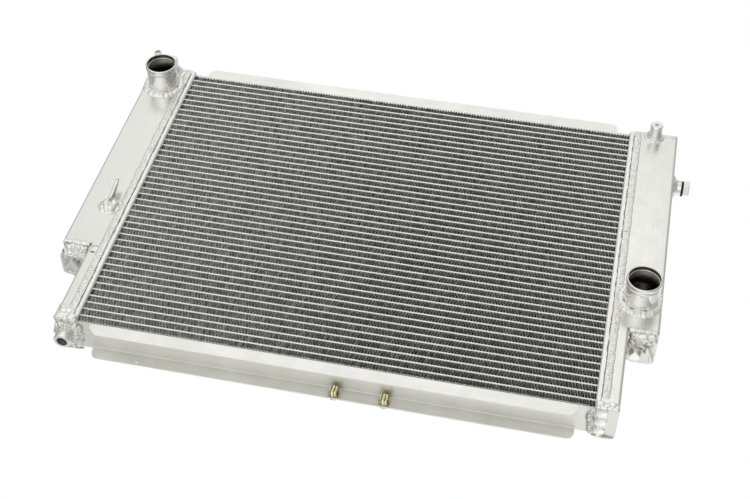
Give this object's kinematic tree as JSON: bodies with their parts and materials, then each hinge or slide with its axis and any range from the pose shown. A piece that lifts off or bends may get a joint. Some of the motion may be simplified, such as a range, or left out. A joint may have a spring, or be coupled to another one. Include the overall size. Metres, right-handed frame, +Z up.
{
  "type": "car radiator",
  "caption": "Upright cross-flow aluminium car radiator: louvred core, stepped side tanks, two front hose necks, threaded plugs, drain port and mounting feet.",
  "frame": {"origin": "centre of the tube-and-fin core", "axes": "+X along the coolant tubes, -Y is the side the two hose necks leave, +Z up as the radiator stands in the car"},
  "size_m": [0.7154, 0.0869, 0.4745],
  "materials": {
    "tank_sheet": "satin",
    "brazed_core": "brazed matt",
    "fin_strip": "matt dark",
    "side_sheet": "brushed",
    "machined": "polished",
    "zinc_yellow": "yellow zinc plated",
    "nut_steel": "zinc plated",
    "o_ring": "matt black"
  },
  "bodies": {
    "radiator": {"core_tubes": "brazed_core", "core_fins": "fin_strip", "header_left": "brazed_core", "header_right": "brazed_core", "side_plate_lower": "side_sheet", "side_plate_upper": "side_sheet", "tank_shell_left": "tank_sheet", "tank_shell_right": "tank_sheet", "tank_top_cap_left": "tank_sheet", "tank_top_cap_right": "tank_sheet", "tank_step_plate_left": "tank_sheet", "tank_step_plate_right": "tank_sheet", "tank_bottom_cap_left": "tank_sheet", "tank_bottom_cap_right": "tank_sheet", "upper_hose_neck": "machined", "lower_hose_neck": "machined", "sensor_bung": "machined", "bleed_boss": "machined", "cowl_boss_left": "machined", "cowl_boss_right": "machined", "hook_base": "tank_sheet", "hook_tongue": "tank_sheet", "drain_boss": "machined", "foot_bracket_left": "tank_sheet", "foot_bracket_right": "tank_sheet", "locating_peg_right": "machined", "guide_ear": "tank_sheet", "clinch_nuts": "nut_steel"},
    "sensor_plug_oring": {"sensor_plug_oring": "o_ring"},
    "sensor_plug": {"sensor_plug": "machined"},
    "bleed_screw_oring": {"bleed_screw_oring": "o_ring"},
    "bleed_screw": {"bleed_screw": "machined"},
    "bolt_washer_left": {"bolt_washer_left": "zinc_yellow"},
    "flange_bolt_left": {"flange_bolt_left": "zinc_yellow"},
    "bolt_washer_right": {"bolt_washer_right": "zinc_yellow"},
    "flange_bolt_right": {"flange_bolt_right": "zinc_yellow"}
  },
  "joints": [
    {"name": "sensor_plug_travel", "type": "slide", "parent": "radiator", "child": "sensor_plug_oring", "axis": [1, 0, 0], "range_m": [0, 0.0075]},
    {"name": "sensor_plug_turn", "type": "hinge", "parent": "sensor_plug_oring", "child": "sensor_plug", "pos_m": [0.3629, 0, 0.156], "axis": [1, 0, 0], "range_deg": [-1.5, 1801.5]},
    {"name": "bleed_screw_travel", "type": "slide", "parent": "radiator", "child": "bleed_screw_oring", "axis": [0, -1, 0], "range_m": [0, 0.0025]},
    {"name": "bleed_screw_turn", "type": "hinge", "parent": "bleed_screw_oring", "child": "bleed_screw", "pos_m": [-0.3338, -0.049, 0.216], "axis": [0, -1, 0], "range_deg": [-1.5, 901.5]},
    {"name": "bolt_left_travel", "type": "slide", "parent": "radiator", "child": "bolt_washer_left", "axis": [0, -1, 0], "range_m": [0, 0.006]},
    {"name": "bolt_left_turn", "type": "hinge", "parent": "bolt_washer_left", "child": "flange_bolt_left", "pos_m": [0.007, 0.014, -0.2288], "axis": [0, -1, 0], "range_deg": [-1.5, 2161.5]},
    {"name": "bolt_right_travel", "type": "slide", "parent": "radiator", "child": "bolt_washer_right", "axis": [0, -1, 0], "range_m": [0, 0.006]},
    {"name": "bolt_right_turn", "type": "hinge", "parent": "bolt_washer_right", "child": "flange_bolt_right", "pos_m": [0.0632, 0.014, -0.2288], "axis": [0, -1, 0], "range_deg": [-1.5, 2161.5]}
  ],
  "couplings": [
    {"joint": "sensor_plug_turn", "follows": "sensor_plug_travel", "rad_per_m": 4188.8},
    {"joint": "bleed_screw_turn", "follows": "bleed_screw_travel", "rad_per_m": 6283.2},
    {"joint": "bolt_left_turn", "follows": "bolt_left_travel", "rad_per_m": 6283.2},
    {"joint": "bolt_right_turn", "follows": "bolt_right_travel", "rad_per_m": 6283.2}
  ]
}
